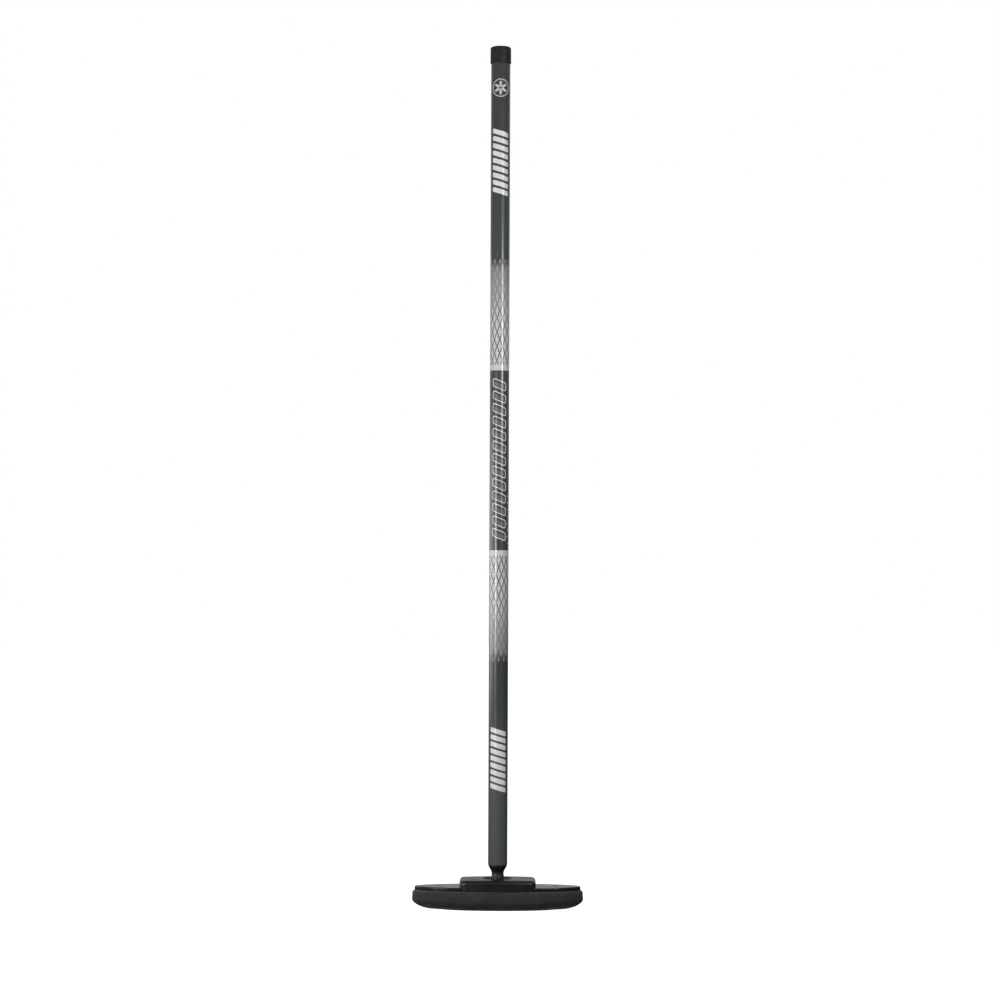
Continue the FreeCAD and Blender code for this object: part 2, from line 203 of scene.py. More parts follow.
# --- Shader graphs ----------------------------------------------------------------------------------
class Graph:
    """A node tree with short ways to add and join nodes."""

    def __init__(self, tree: bpy.types.NodeTree) -> None:
        """Wraps a node tree."""
        self.tree = tree

    def add(self, kind: str, **settings: object) -> bpy.types.Node:
        """Adds a node and sets its properties."""
        node = self.tree.nodes.new(kind)
        for key, value in settings.items():
            setattr(node, key, value)
        return node

    def feed(self, target: bpy.types.NodeSocket, source: object) -> None:
        """Gives an input its source.

        Args:
            target: the input socket.
            source: an output socket to link, or a plain value or colour to set.
        """
        if isinstance(source, bpy.types.NodeSocket):
            self.tree.links.new(source, target)
        elif isinstance(source, tuple) and len(source) == 3 and target.type == "RGBA":
            target.default_value = (*source, 1.0)
        else:
            target.default_value = source

    def math(self, what: str, first: object, second: object = 0.0,
             clamp: bool = False) -> bpy.types.NodeSocket:
        """One Math node's result.

        Args:
            what: the node's operation.
            first: its first value.
            second: its second value, if the operation takes one.
            clamp: whether the result is held between 0 and 1.

        Returns:
            The result's socket.
        """
        node = self.add("ShaderNodeMath", operation=what, use_clamp=clamp)
        for socket, source in zip(node.inputs, (first, second)):
            self.feed(socket, source)
        return node.outputs[0]

    def ramp(self, value: object, low: object, high: object, out_low: float = 0.0,
             out_high: float = 1.0) -> bpy.types.NodeSocket:
        """Smoothly maps a value from one range to another, and holds it past the ends.

        Args:
            value: what is mapped.
            low: the value that gives out_low.
            high: the value that gives out_high.
            out_low: result at low.
            out_high: result at high.

        Returns:
            The result's socket.
        """
        node = self.add("ShaderNodeMapRange", interpolation_type="SMOOTHSTEP", clamp=True)
        for socket, source in zip(node.inputs, (value, low, high, out_low, out_high)):
            self.feed(socket, source)
        return node.outputs[0]

    def mix(self, share: object, first: object, second: object) -> bpy.types.NodeSocket:
        """A mix of two colours."""
        node = self.add("ShaderNodeMix", data_type="RGBA")
        self.feed(node.inputs[0], share)
        self.feed(node.inputs[6], first)
        self.feed(node.inputs[7], second)
        return node.outputs[2]

    def place(self) -> bpy.types.NodeSocket:
        """The piece's own coordinates, in metres."""
        return self.add("ShaderNodeTexCoord").outputs["Object"]

    def stretched(self, vector: object, x: float, y: float, z: float) -> bpy.types.NodeSocket:
        """Coordinates scaled along each axis."""
        node = self.add("ShaderNodeVectorMath", operation="MULTIPLY")
        self.feed(node.inputs[0], vector)
        node.inputs[1].default_value = (x, y, z)
        return node.outputs[0]

    def noise(self, vector: object, scale: object, detail: float = 3.0,
              roughness: float = 0.55) -> bpy.types.NodeSocket:
        """Noise from 0 to 1.

        Args:
            vector: where the noise is read, in metres.
            scale: lumps in a metre.
            detail: how many finer layers are added.
            roughness: strength of the finer layers.

        Returns:
            The noise's socket.
        """
        node = self.add("ShaderNodeTexNoise")
        self.feed(node.inputs["Vector"], vector)
        self.feed(node.inputs["Scale"], scale)
        node.inputs["Detail"].default_value = detail
        node.inputs["Roughness"].default_value = roughness
        return node.outputs[0]

    def group(self, shared: bpy.types.NodeTree, **values: object) -> bpy.types.Node:
        """Places a shared group.

        Args:
            shared: the group.
            values: its inputs by name, with underscores for spaces.

        Returns:
            The group's node.
        """
        node = self.add("ShaderNodeGroup", node_tree=shared)
        for key, value in values.items():
            self.feed(node.inputs[key.replace("_", " ")], value)
        return node

    def bump(self, height: object, distance: float) -> bpy.types.NodeSocket:
        """A normal from a height between 0 and 1 of a given depth in metres."""
        node = self.add("ShaderNodeBump")
        node.inputs["Distance"].default_value = distance
        self.feed(node.inputs["Height"], height)
        return node.outputs[0]


def new_group(name: str, inputs: dict[str, float | None],
              outputs: dict[str, str]) -> tuple[Graph, dict, dict]:
    """Starts a shared group.

    Args:
        name: the group's name.
        inputs: each input's name and default value; None makes a vector input.
        outputs: each output's name and socket type.

    Returns:
        The graph, its input sockets by name and its output sockets by name.
    """
    tree = bpy.data.node_groups.new(name, "ShaderNodeTree")
    for key, value in inputs.items():
        kind = "NodeSocketVector" if value is None else "NodeSocketFloat"
        socket = tree.interface.new_socket(key, in_out="INPUT", socket_type=kind)
        if value is not None:
            socket.default_value = value
    for key, kind in outputs.items():
        tree.interface.new_socket(key, in_out="OUTPUT", socket_type=kind)
    graph = Graph(tree)
    given = graph.add("NodeGroupInput")
    result = graph.add("NodeGroupOutput")
    return graph, {s.name: s for s in given.outputs}, {s.name: s for s in result.inputs}


FLOAT = "NodeSocketFloat"


class Effects:
    """Shared shader effects, each a node group that is built once."""

    def __init__(self) -> None:
        """Builds every group."""
        self.wear = self._edge_wear()
        self.grain = self._moulded_grain()
        self.dust = self._dust()
        self.streaks = self._streaks()
        self.weave = self._weave()
        self.lattice = self._lattice()

    @staticmethod
    def _edge_wear() -> bpy.types.NodeTree:
        """Mask of rubbed edges, broken up by noise."""
        g, given, out = new_group("edge_wear", {"Radius": 0.0006, "Amount": 0.5}, {"Mask": FLOAT})
        bevel = g.add("ShaderNodeBevel", samples=6)
        g.feed(bevel.inputs["Radius"], given["Radius"])
        dot = g.add("ShaderNodeVectorMath", operation="DOT_PRODUCT")
        g.feed(dot.inputs[0], bevel.outputs[0])
        g.feed(dot.inputs[1], g.add("ShaderNodeNewGeometry").outputs["Normal"])
        edge = g.ramp(dot.outputs["Value"], 0.999, 0.93)
        breakup = g.ramp(g.noise(g.place(), 420.0, 4.0), 0.42, 0.68)
        mask = g.math("MULTIPLY", edge, breakup)
        g.feed(out["Mask"], g.math("MULTIPLY", mask, given["Amount"], clamp=True))
        return g.tree

    @staticmethod
    def _moulded_grain() -> bpy.types.NodeTree:
        """Fine spark-eroded grain, and a slow variation for its gloss."""
        g, given, out = new_group("moulded_grain", {"Scale": 2500.0}, {"Height": FLOAT, "Cloud": FLOAT})
        place = g.place()
        g.feed(out["Height"], g.noise(place, given["Scale"], 2.0))
        g.feed(out["Cloud"], g.noise(place, 60.0, 3.0))
        return g.tree

    @staticmethod
    def _dust() -> bpy.types.NodeTree:
        """Mask of a few lint specks."""
        g, given, out = new_group("dust", {"Scale": 700.0, "Amount": 0.3}, {"Mask": FLOAT})
        place = g.place()
        cells = g.add("ShaderNodeTexVoronoi")
        g.feed(cells.inputs["Vector"], place)
        g.feed(cells.inputs["Scale"], given["Scale"])
        speck = g.ramp(cells.outputs["Distance"], 0.16, 0.06)
        sparse = g.ramp(g.noise(place, 90.0, 2.0), 0.56, 0.7)
        g.feed(out["Mask"], g.math("MULTIPLY", g.math("MULTIPLY", speck, sparse), given["Amount"]))
        return g.tree

    @staticmethod
    def _streaks() -> bpy.types.NodeTree:
        """Fine streaks drawn out along one direction, by stretched noise."""
        g, given, out = new_group("streaks", {"Stretched": None, "Scale": 900.0}, {"Value": FLOAT})
        g.feed(out["Value"], g.noise(given["Stretched"], given["Scale"], 3.0, 0.6))
        return g.tree

    @staticmethod
    def _weave() -> bpy.types.NodeTree:
        """Plain weave from cloth coordinates in metres: height, and which thread is on top."""
        g, given, out = new_group("plain_weave", {"Cloth": None, "Pitch": 0.0008},
                                  {"Height": FLOAT, "Over": FLOAT})
        split = g.add("ShaderNodeSeparateXYZ")
        g.feed(split.inputs[0], given["Cloth"])
        across = g.math("DIVIDE", split.outputs[0], given["Pitch"])
        along = g.math("DIVIDE", split.outputs[1], given["Pitch"])
        checks = g.math("ADD", g.math("FLOOR", across), g.math("FLOOR", along))
        over = g.math("FLOORED_MODULO", checks, 2.0)
        hump = []
        for coordinate in (across, along):
            turn = g.math("MULTIPLY", g.math("FRACT", coordinate), math.pi)
            hump.append(g.math("SINE", turn))
        pick = g.add("ShaderNodeMix", data_type="FLOAT")
        g.feed(pick.inputs[0], over)
        for slot, upper, under in ((2, hump[0], hump[1]), (3, hump[1], hump[0])):
            dip = g.math("ADD", g.math("MULTIPLY", under, 0.6), 0.4)
            g.feed(pick.inputs[slot], g.math("MULTIPLY", g.math("POWER", upper, 0.6), dip))
        g.feed(out["Height"], pick.outputs[0])
        g.feed(out["Over"], over)
        return g.tree

    @staticmethod
    def _lattice() -> bpy.types.NodeTree:
        """Crossing curved lines round a tube, and the middle of each cell."""
        g, given, out = new_group(
            "printed_lattice",
            {"Turn": 0.0, "Height": 0.0, "Count": 11.0, "Period": 0.0187, "Half width": 0.085},
            {"Lines": FLOAT, "Middle": FLOAT})
        across = g.math("MULTIPLY", given["Turn"], given["Count"])
        rise = g.math("DIVIDE", given["Height"], given["Period"])
        bend = g.math("MULTIPLY", g.math("SINE", g.math("MULTIPLY", rise, 2 * TURN)), 0.028)
        rise = g.math("ADD", rise, bend)
        nearest = []
        for what in ("ADD", "SUBTRACT"):
            phase = g.math("FRACT", g.math(what, across, rise))
            off = g.math("ABSOLUTE", g.math("SUBTRACT", phase, 0.5))
            nearest.append(g.math("SUBTRACT", 0.5, off))
        closest = g.math("MINIMUM", nearest[0], nearest[1])
        wide = g.math("MULTIPLY", given["Half width"], 1.5)
        g.feed(out["Lines"], g.ramp(closest, wide, given["Half width"]))
        g.feed(out["Middle"], g.ramp(closest, 0.05, 0.42))
        return g.tree


# --- Finishes -----------------------------------------------------------------------------------------
@dataclass(frozen=True)
class Finish:
    """A material: its name, colour and plain gloss."""

    name: str
    colour: Colour
    rough: float = 0.4
    metallic: float = 0.0
    specular: float = 0.5

    def start(self) -> tuple[bpy.types.Material, Graph, bpy.types.Node]:
        """Starts a material with its plain values set.

        Returns:
            The material, its graph and its Principled node.
        """
        material = bpy.data.materials.new(self.name)
        material.use_nodes = True
        graph = Graph(material.node_tree)
        shader = material.node_tree.nodes["Principled BSDF"]
        shader.inputs["Base Color"].default_value = (*self.colour, 1.0)
        shader.inputs["Roughness"].default_value = self.rough
        shader.inputs["Metallic"].default_value = self.metallic
        shader.inputs["Specular IOR Level"].default_value = self.specular
        return material, graph, shader

    def toned(self, share: float) -> Colour:
        """The colour made lighter or darker."""
        return tuple(min(1.0, c * share) for c in self.colour)

    def build(self, effects: Effects) -> bpy.types.Material:
        """The finished material. Each kind of finish adds its own detail."""
        raise NotImplementedError


@dataclass(frozen=True)
class Moulded(Finish):
    """Moulded plastic or rubber: fine grain, uneven gloss, rubbed edges and a little dust."""

    grain_scale: float = 2500.0
    grain_depth: float = 0.00002
    gloss_spread: float = 0.08
    wear: float = 0.35
    worn_colour: Colour = (0.12, 0.12, 0.12)
    dust: float = 0.25
    coat: float = 0.0
    coat_rough: float = 0.08

    def build(self, effects: Effects) -> bpy.types.Material:
        """Colour, roughness and bump from the shared groups."""
        material, g, shader = self.start()
        grain = g.group(effects.grain, Scale=self.grain_scale)
        worn = g.group(effects.wear, Amount=self.wear).outputs["Mask"]
        specks = g.group(effects.dust, Amount=self.dust).outputs["Mask"]
        colour = g.mix(grain.outputs["Cloud"], self.toned(0.8), self.toned(1.15))
        colour = g.mix(worn, colour, self.worn_colour)
        g.feed(shader.inputs["Base Color"], g.mix(specks, colour, (0.3, 0.3, 0.3)))
        spread = self.gloss_spread
        rough = g.ramp(grain.outputs["Cloud"], 0.3, 0.7, self.rough - spread, self.rough + spread)
        g.feed(shader.inputs["Roughness"], g.math("ADD", rough, g.math("MULTIPLY", worn, 0.25), clamp=True))
        g.feed(shader.inputs["Normal"], g.bump(grain.outputs["Height"], self.grain_depth))
        shader.inputs["Coat Weight"].default_value = self.coat
        shader.inputs["Coat Roughness"].default_value = self.coat_rough
        return material


@dataclass(frozen=True)
class Metal(Finish):
    """Turned, plated or anodised metal with fine tool streaks and rubbed edges."""

    metallic: float = 1.0
    streak_scale: float = 900.0
    wear: float = 0.5
    worn_colour: Colour = (0.6, 0.6, 0.6)
    along: tuple[float, float, float] = (0.05, 1.0, 1.0)

    def build(self, effects: Effects) -> bpy.types.Material:
        """Streaks in colour, roughness and bump."""
        material, g, shader = self.start()
        drawn = g.stretched(g.place(), *self.along)
        streak = g.group(effects.streaks, Stretched=drawn, Scale=self.streak_scale).outputs["Value"]
        worn = g.group(effects.wear, Amount=self.wear).outputs["Mask"]
        colour = g.mix(streak, self.toned(0.75), self.toned(1.15))
        g.feed(shader.inputs["Base Color"], g.mix(worn, colour, self.worn_colour))
        g.feed(shader.inputs["Roughness"], g.ramp(streak, 0.3, 0.7, self.rough * 0.75, self.rough * 1.3))
        g.feed(shader.inputs["Normal"], g.bump(streak, 0.00001))
        return material


@dataclass(frozen=True)
class PrintedLacquer(Finish):
    """Lacquered composite tube with two printed lattices, solid bands and a slow change of tone.

    Each lattice is given by three heights in metres: its band's edge, its own start and its end.
    """

    ink: Colour = (0.44, 0.44, 0.452)
    line: Colour = (0.06, 0.068, 0.074)
    foot_colour: Colour = (0.066, 0.072, 0.073)
    crown_colour: Colour = (0.026, 0.027, 0.027)
    foot_span: tuple[float, float] = (0.16, 0.30)
    crown_span: tuple[float, float] = (0.88, 1.08)
    upper: tuple[float, float, float] = (0.7070, 0.7145, 0.8640)
    lower: tuple[float, float, float] = (0.4708, 0.4638, 0.3150)
    fade: float = 0.016
    tip: float = 0.013
    thin: float = 0.4

    def build(self, effects: Effects) -> bpy.types.Material:
        """The print in the base colour, under a clear coat."""
        material, g, shader = self.start()
        place = g.place()
        split = g.add("ShaderNodeSeparateXYZ")
        g.feed(split.inputs[0], place)
        height = split.outputs[2]
        turn = g.math("ARCTAN2", split.outputs[0], g.math("MULTIPLY", split.outputs[1], -1.0))
        turn = g.math("DIVIDE", turn, TURN)
        drawn = g.stretched(place, 1.0, 1.0, 0.03)
        streak = g.group(effects.streaks, Stretched=drawn, Scale=1400.0).outputs["Value"]
        ground = g.mix(g.ramp(height, *self.foot_span), self.foot_colour, self.colour)
        ground = g.mix(g.ramp(height, *self.crown_span), ground, self.crown_colour)
        ground = g.mix(g.math("MULTIPLY", streak, 0.35), ground, self.toned(1.6))
        lattice = g.group(effects.lattice, Turn=turn, Height=height)
        colour = ground
        for edge, start, end in (self.upper, self.lower):
            way = 1 if end > edge else -1
            from_edge = g.math("MULTIPLY", g.math("SUBTRACT", height, edge), float(way))
            inside = g.math("MULTIPLY", g.math("GREATER_THAN", from_edge, 0.0),
                            g.math("LESS_THAN", from_edge, abs(end - edge)))
            tips = g.math("MULTIPLY", lattice.outputs["Middle"], -self.tip)
            reach = abs(end - edge) - self.tip
            shown = g.ramp(g.math("ADD", from_edge, tips), reach, reach - self.fade)
            shown = g.math("MULTIPLY", inside, shown)
            shown = g.math("MULTIPLY", shown, g.ramp(from_edge, reach, 0.3 * reach, self.thin, 1.0))
            printed = g.mix(shown, colour, self.ink)
            past_band = g.math("GREATER_THAN", from_edge, abs(start - edge))
            lines = g.math("MULTIPLY", g.math("MULTIPLY", lattice.outputs["Lines"], past_band), shown)
            colour = g.mix(g.math("MULTIPLY", lines, 0.92), printed, self.line)
        g.feed(shader.inputs["Base Color"], colour)
        g.feed(shader.inputs["Roughness"], g.ramp(streak, 0.3, 0.7, self.rough - 0.05, self.rough + 0.07))
        g.feed(shader.inputs["Normal"], g.bump(streak, 0.000002))
        shader.inputs["Coat Weight"].default_value = 0.6
        shader.inputs["Coat Roughness"].default_value = 0.16
        return material


@dataclass(frozen=True)
class Ink(Finish):
    """Screen-printed silver ink, slightly uneven, under the tube's clear coat."""

    def build(self, effects: Effects) -> bpy.types.Material:
        """Uneven colour and gloss."""
        material, g, shader = self.start()
        drawn = g.stretched(g.place(), 1.0, 1.0, 0.2)
        streak = g.group(effects.streaks, Stretched=drawn, Scale=700.0).outputs["Value"]
        g.feed(shader.inputs["Base Color"], g.mix(streak, self.toned(0.86), self.toned(1.12)))
        g.feed(shader.inputs["Roughness"], g.ramp(streak, 0.3, 0.7, self.rough - 0.08, self.rough + 0.08))
        shader.inputs["Coat Weight"].default_value = 0.5
        shader.inputs["Coat Roughness"].default_value = 0.15
        return material


@dataclass(frozen=True)
class Cloth(Finish):
    """Woven nylon with crossed thread tones, a soft sheen and rubbed, fuzzy patches."""

    pitch: float = 0.0008
    depth: float = 0.00016
    sheen: float = 0.25

    def build(self, effects: Effects) -> bpy.types.Material:
        """Weave from the piece's cloth coordinates, with painted shade darkening the low places between the
        threads.
        """
        material, g, shader = self.start()
        cloth = g.add("ShaderNodeAttribute", attribute_name="cloth").outputs["Vector"]
        weave = g.group(effects.weave, Cloth=cloth, Pitch=self.pitch)
        place = g.place()
        threads = g.mix(weave.outputs["Over"], self.toned(1.2), self.toned(0.85))
        # Painted shade: the colour is darkened to a third in the low places between the threads.
        colour = g.mix(g.ramp(weave.outputs["Height"], 0.0, 0.5), self.toned(0.35), threads)
        rubbed = g.ramp(g.noise(place, 55.0, 4.0), 0.45, 0.72, 0.0, 0.35)
        colour = g.mix(rubbed, colour, self.toned(1.9))
        lint = g.group(effects.dust, Scale=500.0, Amount=0.5).outputs["Mask"]
        g.feed(shader.inputs["Base Color"], g.mix(lint, colour, (0.35, 0.35, 0.35)))
        g.feed(shader.inputs["Roughness"], g.ramp(weave.outputs["Height"], 0.0, 1.0, 0.95, 0.72))
        g.feed(shader.inputs["Normal"], g.bump(weave.outputs["Height"], self.depth))
        shader.inputs["Sheen Weight"].default_value = self.sheen
        shader.inputs["Sheen Roughness"].default_value = 0.45
        return material


@dataclass(frozen=True)
class Foam(Finish):
    """Closed-cell foam with a pitted cut face."""

    def build(self, effects: Effects) -> bpy.types.Material:
        """Cells in bump and roughness, and in colour as painted shade darkening the pits."""
        material, g, shader = self.start()
        cells = g.add("ShaderNodeTexVoronoi")
        g.feed(cells.inputs["Vector"], g.place())
        cells.inputs["Scale"].default_value = 900.0
        pit = g.ramp(cells.outputs["Distance"], 0.1, 0.6)
        # Painted shade: the colour is darkened in the pits of the cells.
        g.feed(shader.inputs["Base Color"], g.mix(pit, self.toned(0.5), self.colour))
        g.feed(shader.inputs["Roughness"], g.ramp(pit, 0.0, 1.0, 0.98, 0.8))
        g.feed(shader.inputs["Normal"], g.bump(pit, 0.0004))
        return material


@dataclass
class Finishes:
    """Every finish of the broom, built on demand and once."""

    effects: Effects
    made: dict[str, bpy.types.Material] = field(default_factory=dict)

    def get(self, finish: Finish) -> bpy.types.Material:
        """The material of a finish."""
        if finish.name not in self.made:
            self.made[finish.name] = finish.build(self.effects)
        return self.made[finish.name]


LACQUER = PrintedLacquer("tube_lacquer", (0.031, 0.035, 0.036), rough=0.32)
SILVER_INK = Ink("silver_ink", (0.52, 0.53, 0.545), rough=0.4)
OUTLINE_INK = Ink("outline_ink", (0.6, 0.61, 0.62), rough=0.4)
BADGE_INK = Ink("badge_ink", (0.4, 0.4, 0.41), rough=0.4)
SHADE_INK = Ink("shade_ink", (0.085, 0.09, 0.094), rough=0.4)
CAP_RUBBER = Moulded("cap_rubber", (0.0075, 0.0075, 0.0075), rough=0.6, grain_scale=3200.0, wear=0.15,
                     worn_colour=(0.05, 0.05, 0.05), dust=0.1)
NECK_PLASTIC = Moulded("neck_plastic", (0.0055, 0.0055, 0.0055), rough=0.5, wear=0.15,
                       worn_colour=(0.05, 0.05, 0.05), dust=0.06)
HOUSING_PLASTIC = Moulded("housing_plastic", (0.0045, 0.0045, 0.0045), rough=0.36, grain_depth=0.000005,
                          gloss_spread=0.05, wear=0.12, worn_colour=(0.05, 0.05, 0.05), dust=0.06)
PLATE_PLASTIC = Moulded("plate_plastic", (0.006, 0.006, 0.0065), rough=0.24, grain_depth=0.000004,
                        gloss_spread=0.04, wear=0.15, worn_colour=(0.06, 0.06, 0.06), dust=0.08)
BOARD_PLASTIC = Moulded("board_plastic", (0.04, 0.04, 0.042), rough=0.5)
ACETAL = Moulded("black_acetal", (0.012, 0.012, 0.012), rough=0.35, wear=0.1, dust=0.05)
YOKE_METAL = Metal("black_anodised", (0.045, 0.045, 0.05), rough=0.35, wear=0.6, worn_colour=(0.5, 0.5, 0.51))
STEEL = Metal("plated_steel", (0.56, 0.56, 0.57), rough=0.28)
BLACK_SCREW = Metal("black_oxide", (0.02, 0.02, 0.021), rough=0.38, worn_colour=(0.25, 0.25, 0.25))
BRASS = Metal("brass", (0.68, 0.48, 0.2), rough=0.3, worn_colour=(0.8, 0.62, 0.32), along=(1.0, 1.0, 0.05))
COVER_CLOTH = Cloth("cover_nylon", (0.0175, 0.018, 0.018), rough=0.85, sheen=0.06)
HEM_TAPE = Cloth("hem_tape", (0.06, 0.06, 0.06), rough=0.8, pitch=0.0005, depth=0.0001, sheen=0.3)
THREAD = Cloth("thread", (0.026, 0.026, 0.026), rough=0.7, pitch=0.00025, depth=0.00006, sheen=0.1)
PAD_FOAM = Foam("pad_foam", (0.09, 0.09, 0.095), rough=0.9)


@dataclass
class Workshop:
    """What every sub-assembly needs: the frame's nodes and the finishes."""

    nodes: dict[str, bpy.types.Object]
    finishes: Finishes

    def fit(self, piece: bpy.types.Object, finish: Finish, slot: str, body: Body,
            replaced: Sequence[str] = ()) -> bpy.types.Object:
        """Dresses a new piece and fixes it to its body.

        Args:
            piece: the new piece.
            finish: its finish.
            slot: name of a material slot; not used.
            body: the body that it moves with.
            replaced: the plain nodes that it stands for.

        Returns:
            The piece.
        """
        piece.data.materials.clear()
        piece.data.materials.append(self.finishes.get(finish))
        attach(piece, body.value)
        if replaced:
            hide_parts(*replaced)
        LOG.info("%s: %d faces on %s", piece.name, len(piece.data.polygons), body.value)
        return piece

    def dress(self, node: str, finish: Finish) -> None:
        """Gives a carried-over node its finish."""
        for place in self.nodes[node].material_slots:
            place.material = self.finishes.get(finish)
        LOG.info("%s: dressed in %s", node, finish.name)


# --- Handle ---------------------------------------------------------------------------------------------
@dataclass
class PrintedMark:
    """Flat ornament that is wrapped round the tube as a thin film of ink."""

    radius: float
    film: float = 0.045
    sink: float = 0.02
    strip: float = 1.0

    def wrapped(self, name: str, outlines: Sequence[Sequence[Point2]],
                holes: Sequence[Sequence[Point2]] = ()) -> bpy.types.Object:
        """Wraps outlines of (arc length, height) points, in millimetres, round the tube.

        Args:
            name: the piece's name.
            outlines: closed outlines, each filled.
            holes: for each outline an inner outline with as many points, which is left open.

        Returns:
            The film, as a closed thin mesh.
        """
        mesh = bmesh.new()
        for k, outline in enumerate(outlines):
            outer = [mesh.verts.new((s, z, 0)) for s, z in outline]
            if not holes:
                mesh.faces.new(outer)
                continue
            inner = [mesh.verts.new((s, z, 0)) for s, z in holes[k]]
            count = len(outer)
            for i in range(count):
                n = (i + 1) % count
                mesh.faces.new((outer[i], outer[n], inner[n], inner[i]))
        reach = max(abs(v.co.x) for v in mesh.verts)
        cuts = int(reach / self.strip) + 1
        for k in range(-cuts, cuts + 1):
            everything = [*mesh.verts, *mesh.edges, *mesh.faces]
            bmesh.ops.bisect_plane(mesh, geom=everything, plane_co=(k * self.strip, 0, 0), plane_no=(1, 0, 0))
        bmesh.ops.triangulate(mesh, faces=[f for f in mesh.faces if len(f.verts) > 4])
        below = mesh.faces[:]
        made = bmesh.ops.extrude_face_region(mesh, geom=below, use_keep_orig=True)["geom"]
        above = {v for v in made if isinstance(v, bmesh.types.BMVert)}
        for v in mesh.verts:
            r = self.radius + (self.film if v in above else -self.sink)
            angle = v.co.x / self.radius
            v.co = Vector((r * math.sin(angle), -r * math.cos(angle), v.co.y)) * MM
        bmesh.ops.recalc_face_normals(mesh, faces=mesh.faces)
        return linked(name, mesh, crease=60.0)


@dataclass
class Handle:
    """Tube with its print, end cap and neck."""

    shop: Workshop
    wall: float = 1.6
    segments: int = 160
    end_round: float = 0.3
    cap_edge: float = 4.5
    cap_roof: float = 4.0
    cap_lean: float = 0.2
    cap_bead: tuple[float, float] = (1.7, 2.3)
    dimple: tuple[float, float, float] = (1.2, 1.7, 0.45)
    bar_count: int = 9
    bar_thick: float = 6.4
    bar_half: float = 11.3
    bar_slant: float = 0.3
    upper_bars: tuple[float, float] = (936.0, 1026.2)
    lower_bars: tuple[float, float] = (153.0, 239.6)
    badge_height: float = 1079.2
    badge_r: float = 12.0
    badge_ring: float = 1.3
    frames: tuple[float, float] = (482.0, 698.0)
    frame_count: int = 13
    frame_half: float = 9.4
    frame_tall: float = 11.4
    frame_slant: float = 0.42
    frame_line: float = 0.95
    dots: tuple[float, float] = (480.0, 542.0)
    dot_count: int = 8
    dot_r: float = 0.8
    dot_arc: float = 12.6

    def build(self) -> None:
        """Makes and fits every piece of the handle."""
        self._tube()
        self._cap()
        self._badge()
        self._bars("print_upper_bars", self.upper_bars)
        self._bars("print_lower_bars", self.lower_bars)
        self._frames()
        self._dots()
        self.shop.dress("neck_ferrule", NECK_PLASTIC)
        self.shop.dress("pivot_bushes", ACETAL)

    def _tube_size(self) -> tuple[float, float, float]:
        """Outer radius, foot and top of the tube in millimetres."""
        low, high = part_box("shaft_tube")
        return high.x / MM, low.z / MM, high.z / MM

    def _mark(self) -> PrintedMark:
        """The film maker for this tube."""
        return PrintedMark(self._tube_size()[0])

    def _tube(self) -> None:
        """Tube with softened ends, turned in many segments round its axis."""
        r, foot, top = self._tube_size()
        bore = r - self.wall
        soft = self.end_round
        outline = rounded([(bore, foot, soft), (r, foot, soft), (r, top, soft), (bore, top, soft)], True, 3)
        tube = lathe("printed_tube", outline, Ends.LOOP, self.segments)
        self.shop.fit(tube, LACQUER, "tube", Body.HANDLE, ["shaft_tube"])

    def _cap(self) -> None:
        """Push-on cap: rim bead, soft shoulder, crowned top with a moulding dimple."""
        low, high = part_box("end_cap")
        r, foot, top = high.x / MM, low.z / MM, high.z / MM
        tube_r = self._tube_size()[0]
        seat = top - self.cap_roof
        bead_low, bead_high = self.cap_bead
        dimple_in, dimple_out, deep = self.dimple
        side, crown_r, bore = r - self.cap_lean, r - 5.4, tube_r + FIT
        outline = rounded([
            (0, top - deep, 0), (dimple_in, top - deep, 0.4), (dimple_out, top, 0.5),
            (crown_r, top - 0.15, 12.0), (side - 0.05, top - 1.0, self.cap_edge),
            (side, foot + bead_high, 0.6), (r, foot + bead_low, 0.6), (r, foot, 0.55),
            (bore, foot, 0.3), (bore, seat, 0.5), (0, seat, 0),
        ], False, 8)
        cap = lathe("rubber_cap", outline, Ends.POLES, self.segments)
        self.shop.fit(cap, CAP_RUBBER, "cap", Body.HANDLE, ["end_cap"])

    def _badge(self) -> None:
        """Ring round a plain six-armed ice crystal."""
        mark = self._mark()
        count = 96
        turns = [TURN * k / count for k in range(count)]
        inner = self.badge_r - self.badge_ring
        outer_loop, inner_loop = (
            [(r * math.cos(t), self.badge_height + r * math.sin(t)) for t in turns]
            for r in (self.badge_r, inner)
        )
        ring_piece = mark.wrapped("print_badge_ring", [outer_loop], [inner_loop])
        self.shop.fit(ring_piece, BADGE_INK, "tube", Body.HANDLE)
        arms: list[list[Point2]] = []
        half = [(1.0, 0.0, 0), (3.4, -1.7, 0.4), (8.8, -1.3, 0.5)]
        shape = rounded(half + [(x, -y, soft) for x, y, soft in reversed(half[1:])], True, 3)
        for k in range(6):
            way = TURN * (k + 0.5) / 6
            cos, sin = math.cos(way), math.sin(way)
            arms.append([(x * cos - y * sin, self.badge_height + x * sin + y * cos) for x, y in shape])
        crystal = mark.wrapped("print_badge_crystal", arms)
        self.shop.fit(crystal, BADGE_INK, "tube", Body.HANDLE)

    def _bars(self, name: str, span: tuple[float, float]) -> None:
        """A ladder of solid slanted bars.

        Args:
            name: the piece's name.
            span: heights of its foot and top.
        """
        rise = self.bar_slant * self.bar_half
        low, high = span[0] + rise + self.bar_thick / 2, span[1] - rise - self.bar_thick / 2
        bars = []
        for k in range(self.bar_count):
            z = low + (high - low) * k / (self.bar_count - 1)
            bars.append(self._slanted(z, self.bar_half, self.bar_thick, self.bar_slant, 1.6))
        self.shop.fit(self._mark().wrapped(name, bars), SILVER_INK, "tube", Body.HANDLE)

